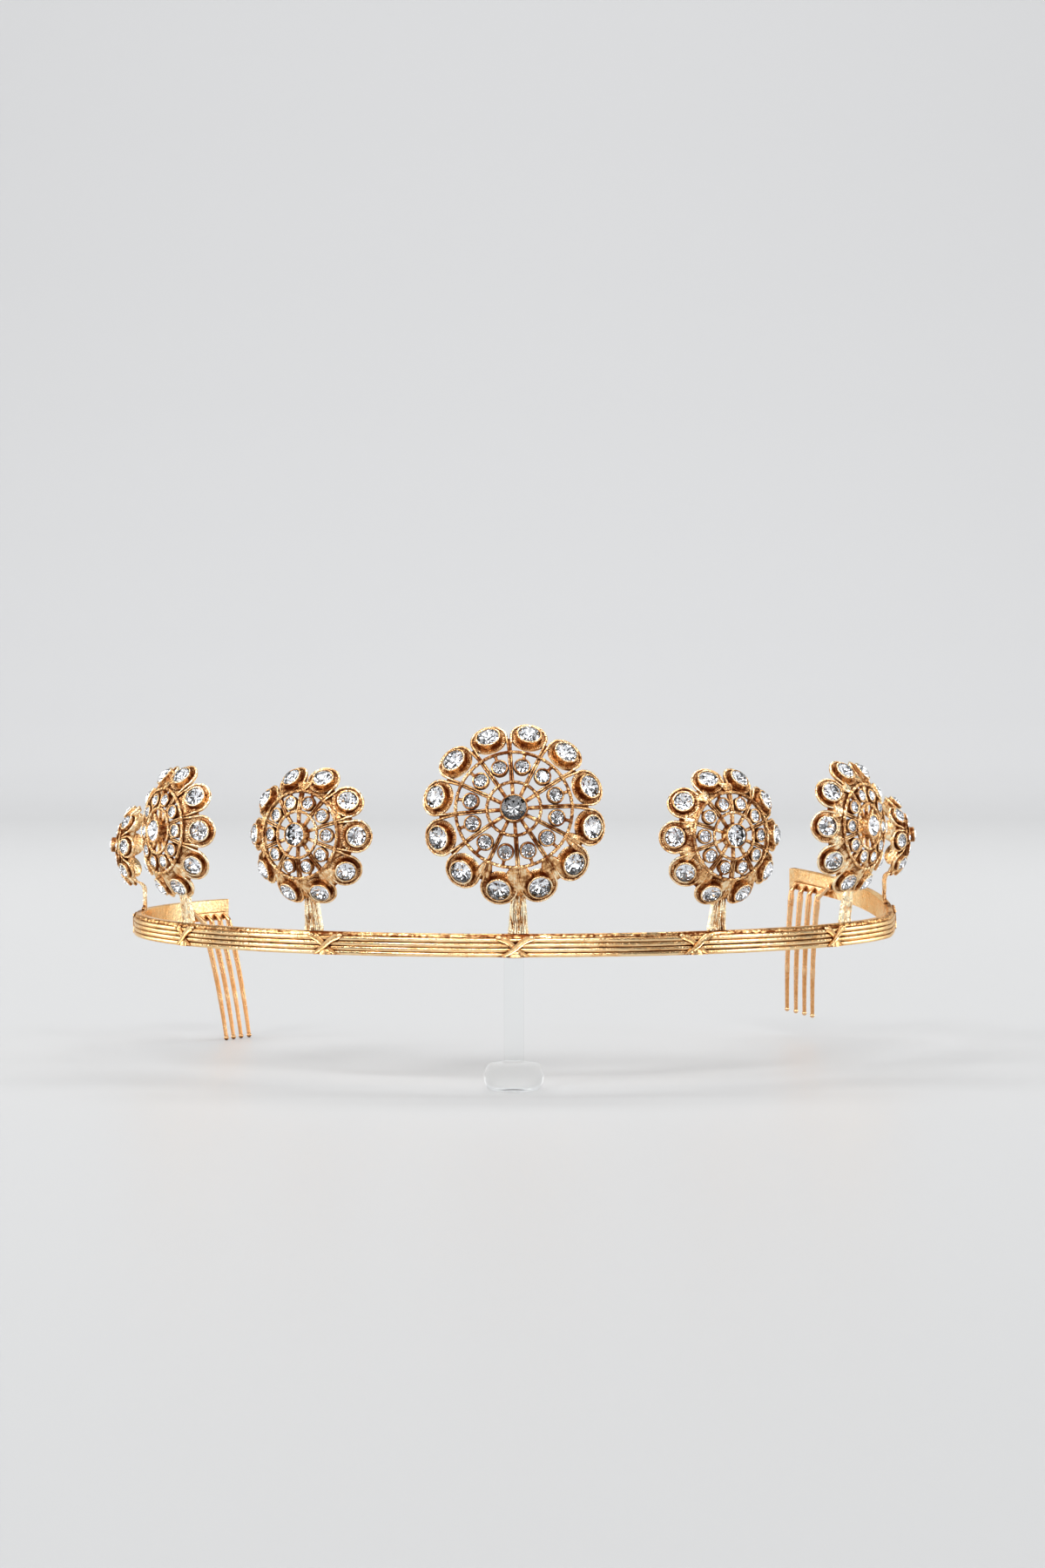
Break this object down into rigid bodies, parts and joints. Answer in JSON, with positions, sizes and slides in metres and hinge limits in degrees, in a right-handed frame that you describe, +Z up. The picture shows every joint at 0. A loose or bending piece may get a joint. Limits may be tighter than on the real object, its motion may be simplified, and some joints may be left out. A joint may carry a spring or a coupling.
{
  "type": "tiara on a clear prop",
  "caption": "Gilt tiara: a reeded band with crossed ties, pierced rosettes set with clear round stones on short stems, side combs, and a clear prop under the front.",
  "frame": {"origin": "middle of the tiara's box, at the bottom, on the surface that the left comb's tips and the prop's foot rest on", "axes": "+Z up, -Y to the front (the large rosette), +X to the right as seen from the front"},
  "size_m": [0.1597, 0.1268, 0.066],
  "materials": {
    "band_gilt": "gilt, bright on the reeds and browned in the grooves",
    "rosette_gilt": "gilt, cast and chased, reddish brown in the recesses",
    "comb_gilt": "paler satin gilt",
    "paste_stone": "clear foiled paste, cut with a table and facets",
    "clear_acrylic": "clear polished acrylic"
  },
  "bodies": {
    "root": {"band": "band_gilt", "comb_left": "comb_gilt", "comb_right": "comb_gilt", "clear_prop": "clear_acrylic", "rosette_center": "rosette_gilt", "rosette_left_inner": "rosette_gilt", "rosette_right_inner": "rosette_gilt", "rosette_left_outer": "rosette_gilt", "rosette_right_outer": "rosette_gilt", "rosette_left_end": "rosette_gilt", "rosette_right_end": "rosette_gilt", "hub_stone_center": "paste_stone", "hub_stone_left_inner": "paste_stone", "hub_stone_right_inner": "paste_stone", "hub_stone_left_outer": "paste_stone", "hub_stone_right_outer": "paste_stone", "hub_stone_left_end": "paste_stone", "hub_stone_right_end": "paste_stone", "petal_stone_center_01": "paste_stone", "petal_stone_center_02": "paste_stone", "petal_stone_center_03": "paste_stone", "petal_stone_center_04": "paste_stone", "petal_stone_center_05": "paste_stone", "petal_stone_center_06": "paste_stone", "petal_stone_center_07": "paste_stone", "petal_stone_center_08": "paste_stone", "petal_stone_center_09": "paste_stone", "petal_stone_center_10": "paste_stone", "petal_stone_center_11": "paste_stone", "petal_stone_center_12": "paste_stone", "petal_stones_left_inner": "paste_stone", "petal_stones_right_inner": "paste_stone", "petal_stones_left_outer": "paste_stone", "petal_stones_right_outer": "paste_stone", "petal_stones_left_end": "paste_stone", "petal_stones_right_end": "paste_stone", "ring_stones_center": "paste_stone", "ring_stones_left_inner": "paste_stone", "ring_stones_right_inner": "paste_stone", "ring_stones_left_outer": "paste_stone", "ring_stones_right_outer": "paste_stone", "ring_stones_left_end": "paste_stone", "ring_stones_right_end": "paste_stone"}
  },
  "joints": []
}
